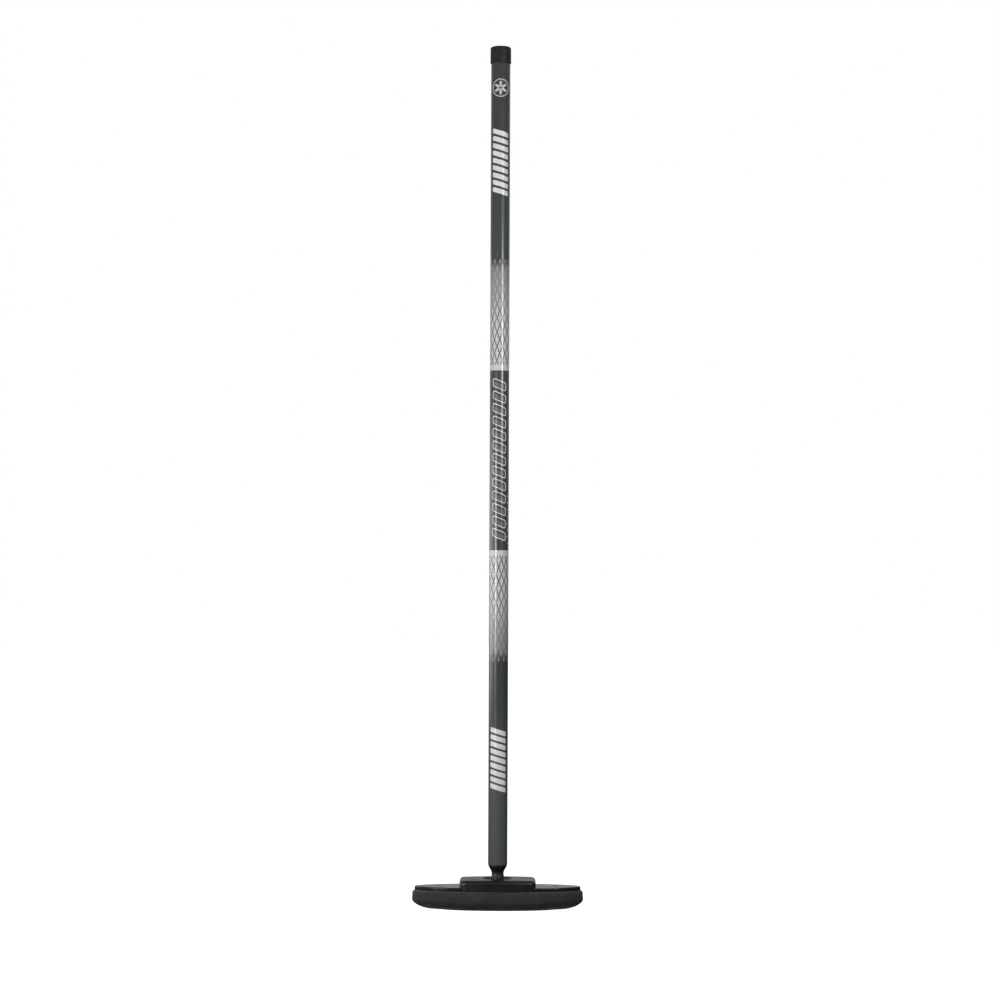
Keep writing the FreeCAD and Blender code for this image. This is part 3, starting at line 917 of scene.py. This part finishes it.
    @staticmethod
    def _slanted(z: float, half: float, tall: float, slant: float, radius: float) -> list[Point2]:
        """A rounded parallelogram that falls to the right.

        Args:
            z: height of its middle.
            half: half its width.
            tall: its height at any place.
            slant: how fast it falls.
            radius: radius of its corners.

        Returns:
            Its outline.
        """
        rise, up = slant * half, tall / 2
        left, right = z + rise, z - rise
        corners = [(-half, left - up), (half, right - up), (half, right + up), (-half, left + up)]
        return rounded([(x, y, radius) for x, y in corners], True, 5)

    def _frames(self) -> None:
        """A row of outlined slanted panels, each with a softly tinted lower half."""
        rise = self.frame_slant * self.frame_half
        low = self.frames[0] + rise + self.frame_tall / 2
        high = self.frames[1] - rise - self.frame_tall / 2
        outer, inner, tints = [], [], []
        half, tall, slant, line = self.frame_half, self.frame_tall, self.frame_slant, self.frame_line
        for k in range(self.frame_count):
            z = low + (high - low) * k / (self.frame_count - 1)
            outer.append(self._slanted(z, half, tall, slant, 2.4))
            inner.append(self._slanted(z, half - line, tall - 2.2 * line, slant, 1.7))
            tints.append(self._slanted(z - 1.2, half - 2.4, tall - 6.4, slant, 1.2))
        mark = self._mark()
        self.shop.fit(mark.wrapped("print_panel_lines", outer, inner), OUTLINE_INK, "tube", Body.HANDLE)
        self.shop.fit(mark.wrapped("print_panel_tints", tints), SHADE_INK, "tube", Body.HANDLE)

    def _dots(self) -> None:
        """A column of small dots beside the lower panels."""
        low, high = self.dots
        r, turns = self.dot_r, [TURN * k / 16 for k in range(16)]
        spots = []
        for k in range(self.dot_count):
            z = low + (high - low) * k / (self.dot_count - 1)
            spots.append([(self.dot_arc + r * math.cos(t), z + r * math.sin(t)) for t in turns])
        self.shop.fit(self._mark().wrapped("print_dots", spots), OUTLINE_INK, "tube", Body.HANDLE)


# --- Swivel ---------------------------------------------------------------------------------------------
@dataclass
class Swivel:
    """Yoke, pin and what is on the pin, which keep their exact shapes."""

    shop: Workshop

    def build(self) -> None:
        """Dresses each piece."""
        self.shop.dress("swivel_yoke", YOKE_METAL)
        for node in ("pivot_pin", "pin_clips", "thrust_washers"):
            self.shop.dress(node, STEEL)


# --- Head -----------------------------------------------------------------------------------------------
@dataclass
class HeadShell:
    """Housing, plate and their screws.

    The housing has straight ends and follows the plate's edge on its long sides. At the front and
    rear a skirt hangs down over that edge.
    """

    shop: Workshop
    edge: float = 5.0
    crown: float = 0.7
    corner: float = 8.0
    opening_floor: float = 4.0
    bore_r: float = 19.0
    dish_r: float = 21.0
    dish_deep: float = 3.0
    skirt_half: float = 46.0
    skirt_corner: float = 4.0
    ledge: float = 0.35
    ledge_up: float = 1.9
    lip: float = 0.3
    plate_gap: float = 0.12
    land_drop: float = 2.95
    land_half: tuple[float, float] = (46.6, 21.6)
    count: int = 288
    plan: tuple[float, float, float] = (1.0, 1.0, 1.0)

    def build(self) -> None:
        """Makes the housing and dresses the rest."""
        self.plan = self._plan()
        self._housing()
        self.shop.dress("head_plate", PLATE_PLASTIC)
        self.shop.dress("pad_screws", BLACK_SCREW)
        self.shop.dress("housing_screws", STEEL)
        for node in ("housing_inserts", "pad_inserts"):
            self.shop.dress(node, BRASS)
        for node in ("upper_slip_ring", "lower_slip_ring"):
            self.shop.dress(node, ACETAL)

    @staticmethod
    def _polar(a: float, b: float, angle: float) -> float:
        """Distance from the centre to an ellipse, at an angle."""
        return a * b / math.hypot(b * math.cos(angle), a * math.sin(angle))

    def _plan(self) -> tuple[float, float, float]:
        """Half-lengths of the ellipse that bounds the long sides, and half the length between the ends."""
        high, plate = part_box("swivel_housing")[1] / MM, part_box("head_plate")[1] / MM
        out = high.y - plate.y
        return plate.x + out, plate.y + out, high.x

    def _inset(self, x: float, y: float) -> float:
        """How far a point lies inside the housing's plan outline.

        Args:
            x: its place along the head.
            y: its place across the head.

        Returns:
            The distance to the outline, below 0 outside it.
        """
        a, b, end = self.plan
        level = math.hypot(x / a, y / b)
        slope = math.hypot(x / a ** 2, y / b ** 2)
        front = (1 - level) * level / slope if slope else b
        side = end - abs(x)
        into_side, into_front = self.corner - side, self.corner - front
        if min(into_side, into_front) > 0:
            return self.corner - math.hypot(into_side, into_front)
        return min(side, front)

    def _reach(self, angle: float, inset: float) -> float:
        """Finds, by halving, where the plan is inset by so much.

        Args:
            angle: direction from the middle.
            inset: the distance wanted inside the outline.

        Returns:
            Distance from the middle.
        """
        near, far, halvings = 1.0, 80.0, 36
        for _ in range(halvings):
            middle = (near + far) / 2
            if self._inset(middle * math.cos(angle), middle * math.sin(angle)) > inset:
                near = middle
            else:
                far = middle
        return near

    def _upper(self, angle: float, base: float, top: float) -> list[Point2]:
        """Section of the bore, dish and dome, ending at the foot of the rounded edge.

        Args:
            angle: direction of the section.
            base: height where the housing stands on the plate.
            top: height of the roof.

        Returns:
            Its (radius, height) points.
        """
        _, b, end = self.plan

        def crowned(r: float) -> float:
            """Height of the slightly crowned roof at a radius."""
            level = math.hypot(r * math.cos(angle) / end, r * math.sin(angle) / b)
            return top - self.crown * level ** 2

        floor = top - self.dish_deep
        points = [(self.bore_r, base), (self.bore_r, base + self.opening_floor), (self.bore_r, floor)]
        for k in range(1, 7):
            turn = math.radians(15 * k)
            r = self.bore_r + (self.dish_r - self.bore_r) * (1 - math.cos(turn))
            points.append((r, floor + (crowned(self.dish_r) - floor) * math.sin(turn)))
        flat = self._reach(angle, self.edge)
        for k in range(1, 7):
            r = self.dish_r + (flat - self.dish_r) * k / 6
            points.append((r, crowned(r)))
        for k in range(1, 13):
            turn = math.radians(7.5 * k)
            r = self._reach(angle, self.edge * (1 - math.sin(turn)))
            points.append((r, crowned(flat) - self.edge * (1 - math.cos(turn))))
        return points

    def _profile(self, angle: float) -> list[Point2]:
        """Closed section of the housing: dome, wall, skirt over the plate's edge and underside.

        Args:
            angle: direction of the section.

        Returns:
            Its (radius, height) points, as many at every angle.
        """
        low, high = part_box("swivel_housing")
        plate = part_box("head_plate")[1]
        top, skirt = high.z / MM, low.z / MM
        base = plate.z / MM + FIT
        points = self._upper(angle, base, top)
        outer = self._reach(angle, 0.0)
        x = abs(outer * math.cos(angle))
        share = min(1.0, max(0.0, (self.skirt_half - x) / self.skirt_corner))
        drop = math.sqrt(1 - (1 - share) ** 2)
        bottom = base + (skirt - base) * drop
        ledge = self.ledge * drop
        points = [(r - ledge, z) if r > self.dish_r else (r, z) for r, z in points]
        wall_top, ledge_z = points[-1][1], base + self.ledge_up
        points += [(outer - ledge, wall_top + (ledge_z - wall_top) * k / 4) for k in range(1, 5)]
        points += [(outer, ledge_z - ledge * 0.6), (outer, base + 0.4), (outer, bottom + self.lip * drop)]
        points.append((outer - self.lip * drop, bottom))
        plate_r = self._polar(plate.x / MM, plate.y / MM, angle) + self.plate_gap
        inner = min(plate_r, outer - self.lip - 0.1)
        land = base - self.land_drop * drop
        under = self._polar(*self.land_half, angle)
        points += [(inner, bottom), (inner, land), (under, land), (under, base)]
        return points

    def _housing(self) -> None:
        """Dome and aprons in one skin, swept round the opening."""
        angles = [TURN * k / self.count for k in range(self.count)]
        sections = [self._profile(angle) for angle in angles]
        rows = [
            [Vector((r * math.cos(t), r * math.sin(t), z)) * MM for t, (r, z) in zip(angles, ring_points)]
            for ring_points in zip(*sections)
        ]
        housing = skin("moulded_housing", rows, Ends.LOOP, 35.0)
        self.shop.fit(housing, HOUSING_PLASTIC, "housing", Body.HEAD, ["swivel_housing"])


# --- Pad ------------------------------------------------------------------------------------------------
@dataclass
class Pad:
    """Sewn cover over foam on a board, with a bound and stitched top edge."""

    shop: Workshop
    flat_a: float = 76.0
    flat_b: float = 26.0
    wide_z: float = 14.0
    fullness: float = 2.4
    shoulder_z: float = 18.0
    tuck_a: float = 3.1
    tuck_b: float = 3.0
    cover_t: float = 1.1
    fold: float = 5.0
    lip: float = 0.9
    count: int = 240
    shrink: float = 0.35
    swell_cap: float = 0.9
    pressure: float = 3.0
    frames: int = 16
    stitch_pitch: float = 3.4
    stitch_r: float = 0.24
    stitch_drop: float = 2.1
    hem_lap: float = 0.05
    hem_wide: float = 0.85

    def build(self) -> None:
        """Makes and fits every piece of the pad."""
        self._cover()
        self._foam()
        self._hem()
        self._stitches()
        self.shop.dress("pad_carrier", BOARD_PLASTIC)

    def _section(self, z: float, inset: float = 0.0) -> tuple[float, float]:
        """Half-length and half-width of the pad at a height.

        Args:
            z: the height.
            inset: how much both are shrunk.

        Returns:
            The two halves.
        """
        low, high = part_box("pad_cover")
        wide_a, wide_b, top = high.x / MM, high.y / MM, high.z / MM
        if z < self.wide_z:
            rise = math.sqrt(1 - (1 - max(0.0, z) / self.wide_z) ** self.fullness)
            a = self.flat_a + (wide_a - self.flat_a) * rise
            b = self.flat_b + (wide_b - self.flat_b) * rise
        else:
            climb = min(1.0, max(0.0, z - self.shoulder_z) / (top - self.shoulder_z))
            tuck = 1 - math.sqrt(1 - climb ** 2)
            a = wide_a - self.tuck_a * tuck
            b = wide_b - self.tuck_b * tuck
        return a - inset, b - inset

    def _side_heights(self, top: float) -> list[float]:
        """Heights of the rows up the side, close together near the sole."""
        lower = [self.wide_z * (1 - math.cos(math.radians(90 * k / 16))) for k in range(1, 17)]
        rise = top - self.shoulder_z
        upper = [self.shoulder_z + rise * math.sin(math.radians(90 * k / 9)) for k in range(10)]
        return lower + upper

    def _cover_rows(self, inset: float) -> list[Row]:
        """Rows of the cover from the middle of the sole to the fold under the plate.

        Args:
            inset: how far the cover starts inside its own outline.

        Returns:
            The rows.
        """
        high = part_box("pad_cover")[1].z / MM
        top = high - 0.04
        rows: list[Row] = [[Vector((0, 0, inset * MM))]]
        for share in (0.12, 0.24, 0.36, 0.48, 0.6, 0.72, 0.82, 0.91, 1.0):
            a, b = self.flat_a * share - inset, self.flat_b * share - inset * share
            rows.append(ring(a, b, inset, self.count))
        for z in self._side_heights(top - self.lip):
            a, b = self._section(z, inset)
            rows.append(ring(a, b, max(z, inset), self.count))
        a, b = self._section(top - self.lip, inset)
        for k in range(1, 5):
            t = k / 4 * math.pi / 2
            drop = self.lip * (1 - math.cos(t))
            rows.append(ring(a - drop, b - drop, top - self.lip + self.lip * math.sin(t), self.count))
        for k in range(1, 4):
            tucked = self.lip + self.fold * k / 3
            rows.append(ring(a - tucked, b - tucked, top, self.count))
        return rows

    @staticmethod
    def _cloth_coordinates(piece: bpy.types.Object) -> None:
        """Stores cloth coordinates in metres: round the side, flat on sole and fold."""
        data = piece.data
        store = data.attributes.new("cloth", "FLOAT_VECTOR", "POINT")
        values: list[float] = []
        for vertex in data.vertices:
            x, y, z = vertex.co
            steep = smoothstep(0.75, 0.45, abs(vertex.normal.z))
            angle = math.atan2(y / 0.033, x / 0.110)
            around = x if abs(math.sin(angle)) > 0.32 else y + math.copysign(0.1, x)
            values += [around, z + (y if steep < 0.5 else 0.0), 0.0]
        store.data.foreach_set("vector", values)

    def _cover(self) -> None:
        """Cover: swelled by the foam as cloth, then thickened."""
        cover = skin("sewn_cover", self._cover_rows(self.shrink), Ends.OPEN, 180.0)
        self._swell(cover)
        shell = cover.modifiers.new("thickness", "SOLIDIFY")
        shell.thickness = self.cover_t * MM
        shell.offset = -1.0
        shell.use_rim = True
        baked(cover)
        self._cloth_coordinates(cover)
        self.shop.fit(cover, COVER_CLOTH, "cover", Body.HEAD, ["pad_cover"])

    def _swell(self, cover: bpy.types.Object) -> None:
        """Lets the cover settle over the foam: held at the sole and the fold, pushed out between.

        Args:
            cover: the cover, still one sheet thick.
        """
        data = cover.data
        rest = [v.co.copy() for v in data.vertices]
        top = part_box("pad_cover")[1].z
        held = cover.vertex_groups.new(name="held")
        for vertex in data.vertices:
            x, y, z = vertex.co
            inside = math.hypot(x / (self.flat_a * MM), y / (self.flat_b * MM)) < 1.01
            flat = inside and z < 2 * self.shrink * MM
            if flat or z > top - 1.4 * self.lip * MM:
                held.add([vertex.index], 1.0, "REPLACE")
        cloth = cover.modifiers.new("cloth", "CLOTH")
        how = cloth.settings
        how.quality = 6
        how.mass = 0.15
        how.tension_stiffness = 18.0
        how.compression_stiffness = 18.0
        how.shear_stiffness = 8.0
        how.bending_stiffness = 0.4
        how.use_pressure = True
        how.uniform_pressure_force = self.pressure
        how.shrink_min = -0.012
        how.vertex_group_mass = "held"
        how.effector_weights.gravity = 0.0
        cloth.point_cache.frame_start = 1
        cloth.point_cache.frame_end = self.frames
        scene = bpy.context.scene
        for frame_number in range(1, self.frames + 1):
            scene.frame_set(frame_number)
        baked(cover)
        scene.frame_set(1)
        cap = self.swell_cap * MM
        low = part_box("pad_cover")[0].z
        for vertex, start in zip(cover.data.vertices, rest):
            move = vertex.co - start
            if move.length > cap:
                vertex.co = start + move.normalized() * cap
            vertex.co.z = max(vertex.co.z, low)

    def _foam(self) -> None:
        """Foam block, moulded round the board."""
        board_low, board_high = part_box("pad_carrier")
        low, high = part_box("pad_foam")
        top = high.z / MM
        inset = self.cover_t + self.shrink + 0.1
        base = low.z / MM + 0.3
        rows: list[Row] = [[Vector((0, 0, base)) * MM]]
        for share in (0.3, 0.6, 0.85, 1.0):
            a, b = self.flat_a * share - inset, self.flat_b * share - inset * share
            rows.append(ring(a, b, base, self.count // 2))
        for z in self._side_heights(top):
            a, b = self._section(z, inset)
            rows.append(ring(a, b, max(z, base), self.count // 2))
        a, b = board_high.x / MM + 0.15, board_high.y / MM + 0.15
        floor = board_low.z / MM - 0.1
        rows.append(ring(a, b, top, self.count // 2))
        rows.append(ring(a, b, floor, self.count // 2))
        rows.append(ring(a * 0.5, b * 0.5, floor, self.count // 2))
        rows.append([Vector((0, 0, floor)) * MM])
        foam = skin("foam_core", rows, Ends.POLES, 50.0)
        self.shop.fit(foam, PAD_FOAM, "foam", Body.HEAD, ["pad_foam"])

    def _hem(self) -> None:
        """Bound edge: a small rounded tape round the foot of the plate."""
        low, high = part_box("cover_hem")
        out_a, out_b = high.x / MM, high.y / MM
        foot, top, wide = low.z / MM - self.hem_lap, high.z / MM, self.hem_wide
        section = rounded([(0, foot, 0.2), (wide, foot, 0.3), (wide, top, 0.4), (0, top, 0.35)], True, 4)
        rows = [ring(out_a - wide + r, out_b - wide + r, z, self.count * 2) for r, z in section]
        hem = skin("bound_hem", rows, Ends.LOOP, 60.0)
        self._cloth_coordinates(hem)
        self.shop.fit(hem, HEM_TAPE, "hem", Body.HEAD, ["cover_hem"])

    def _stitches(self) -> None:
        """Lockstitches just below the bound edge, each a short thread that dips at both ends."""
        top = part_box("pad_cover")[1].z / MM
        z = top - self.stitch_drop
        a, b = self._section(z, self.shrink - self.stitch_r / 2)
        fine, beads, share = 2880, 6, 0.66
        line = ring(a, b, z, fine)
        travelled = [0.0]
        for k in range(fine):
            travelled.append(travelled[-1] + (line[(k + 1) % fine] - line[k]).length / MM)
        total = travelled[-1]
        stitches = round(total / self.stitch_pitch)
        pitch = total / stitches
        mesh = bmesh.new()
        for s in range(stitches):
            stops = [(s + share * k / beads) * pitch for k in range(beads + 1)]
            thread = [line[max(0, bisect_left(travelled, stop) - 1)].copy() for stop in stops]
            self._thread(mesh, thread, a, b)
        bmesh.ops.recalc_face_normals(mesh, faces=mesh.faces)
        stitching = linked("hem_stitching", mesh, 80.0)
        self._cloth_coordinates(stitching)
        self.shop.fit(stitching, THREAD, "hem", Body.HEAD)

    def _thread(self, mesh: bmesh.types.BMesh, spots: Sequence[Vector], a: float, b: float) -> None:
        """One stitch: a closed thread along the spots, tapered and sunk at both ends.

        Args:
            mesh: what the thread is added to.
            spots: places along the pad's side.
            a: half-length of the pad there.
            b: half-width of the pad there.
        """
        sides = 6
        rings = []
        last = len(spots) - 1
        for k, spot in enumerate(spots):
            outward = Vector((spot.x / a ** 2, spot.y / b ** 2, 0)).normalized()
            swell = math.sin(math.pi * (0.12 + 0.76 * k / last))
            centre = spot + outward * (swell - 0.55) * 0.3 * MM
            r = self.stitch_r * (0.55 + 0.45 * swell) * MM
            turns = [TURN * j / sides for j in range(sides)]
            offsets = [outward * r * math.cos(t) + Vector((0, 0, r * math.sin(t))) for t in turns]
            rings.append([mesh.verts.new(centre + offset) for offset in offsets])
        for low, high in zip(rings, rings[1:]):
            for j in range(sides):
                n = (j + 1) % sides
                mesh.faces.new((low[j], low[n], high[n], high[j]))
        mesh.faces.new(rings[0])
        mesh.faces.new(rings[-1])


# --- Studio ---------------------------------------------------------------------------------------------
@dataclass
class Studio:
    """Pale floor, soft lights and the camera."""

    distance: float = 4.0
    eye: float = 0.458
    aim: float = 0.537
    aim_x: float = 0.0012
    roll: float = 0.226
    lens: float = 109.46

    def build(self) -> None:
        """Sets the whole stage."""
        self._world()
        self._floor()
        self._camera()
        self._strip("upper_strip", 31.5, 1.6, 0.93, (0.36, 0.65), 9.5)
        self._strip("lower_strip", -38.5, 1.6, 0.42, (0.45, 0.60), 9.5)
        self._strip("left_panel", -97.0, 1.6, 0.366, (2.0, 0.665), 9.0)
        fills = (
            self._panel("overhead", Vector((0.0, 0.6, 2.4)), Vector((0, 0, 0.1)), (2.4, 1.6), 14.0),
            self._panel("front_fill", Vector((-0.6, -3.0, 3.2)), Vector((0, 0, 0.55)), (2.0, 1.2), 100.0),
        )
        for fill in fills:
            fill.visible_glossy = False

    def _world(self) -> None:
        """White behind and beside the object and dim behind the camera; plain white when looked at."""
        world = bpy.data.worlds.new("studio")
        world.use_nodes = True
        bpy.context.scene.world = world
        g = Graph(world.node_tree)
        shader = world.node_tree.nodes["Background"]
        split = g.add("ShaderNodeSeparateXYZ")
        g.feed(split.inputs[0], g.add("ShaderNodeTexCoord").outputs["Generated"])
        behind = g.ramp(split.outputs[1], 0.1, 0.95, 0.22, 0.55)
        seen = g.add("ShaderNodeLightPath").outputs["Is Camera Ray"]
        strength = g.math("MAXIMUM", behind, seen)
        g.feed(shader.inputs["Color"], (1.0, 1.0, 1.0))
        g.feed(shader.inputs["Strength"], strength)

    def _floor(self) -> None:
        """Pale matt floor, bright enough to meet the backdrop without a line."""
        mesh = bmesh.new()
        bmesh.ops.create_grid(mesh, x_segments=1, y_segments=1, size=12.0)
        floor = linked("studio_floor", mesh)
        floor.location.z = -0.0004
        material = bpy.data.materials.new("studio_paper")
        material.use_nodes = True
        g = Graph(material.node_tree)
        shader = material.node_tree.nodes["Principled BSDF"]
        shader.inputs["Roughness"].default_value = 0.9
        shader.inputs["Specular IOR Level"].default_value = 0.0
        path = g.add("ShaderNodeLightPath")
        paper = g.mix(path.outputs["Is Glossy Ray"], (0.2, 0.2, 0.2), (0.04, 0.04, 0.04))
        g.feed(shader.inputs["Base Color"], paper)
        shader.inputs["Emission Color"].default_value = (1.0, 1.0, 1.0, 1.0)
        g.feed(shader.inputs["Emission Strength"], g.math("MULTIPLY", path.outputs["Is Camera Ray"], 1.1))
        floor.data.materials.append(material)

    @staticmethod
    def _panel(name: str, place: Vector, target: Vector, size: Point2, power: float) -> bpy.types.Object:
        """A rectangular soft light.

        Args:
            name: its name.
            place: where it stands.
            target: where it points.
            size: its width and height.
            power: its power in watts.

        Returns:
            The lamp.
        """
        data = bpy.data.lights.new(name, "AREA")
        data.shape = "RECTANGLE"
        data.size, data.size_y = size
        data.energy = power
        lamp = bpy.data.objects.new(name, data)
        lamp.location = place
        lamp.rotation_euler = (target - place).to_track_quat("-Z", "Y").to_euler()
        bpy.context.scene.collection.objects.link(lamp)
        return lamp

    def _strip(self, name: str, degrees: float, away: float, height: float, size: Point2,
               power: float) -> None:
        """An upright light beside the object.

        Args:
            name: its name.
            degrees: its direction from the camera's side.
            away: its distance.
            height: height of its middle and of what it points at.
            size: its width and height.
            power: its power in watts.
        """
        angle = math.radians(degrees)
        place = Vector((away * math.sin(angle), -away * math.cos(angle), height))
        self._panel(name, place, Vector((0, 0, height)), size, power)

    def _camera(self) -> None:
        """Camera in front, slightly above the head, aimed at the middle of the tube."""
        data = bpy.data.cameras.new("camera")
        data.lens = self.lens
        data.sensor_width = 36.0
        data.clip_end = 60.0
        camera = bpy.data.objects.new("camera", data)
        place = Vector((self.aim_x, -self.distance, self.eye))
        aim = Vector((self.aim_x, 0, self.aim))
        turn = (aim - place).to_track_quat("-Z", "Y").to_euler()
        camera.location = place
        camera.rotation_euler = turn
        camera.rotation_euler.rotate_axis("Z", math.radians(self.roll))
        bpy.context.scene.collection.objects.link(camera)
        bpy.context.scene.camera = camera


def main() -> None:
    """Loads the frame and builds the broom and its studio."""
    logging.basicConfig(level=logging.INFO, format="%(name)s %(message)s")
    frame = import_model()
    bpy.context.scene.view_settings.view_transform = "Standard"
    shop = Workshop(frame["nodes"], Finishes(Effects()))
    for assembly in (Handle(shop), Swivel(shop), HeadShell(shop), Pad(shop), Studio()):
        assembly.build()


if __name__ == "__main__":
    main()
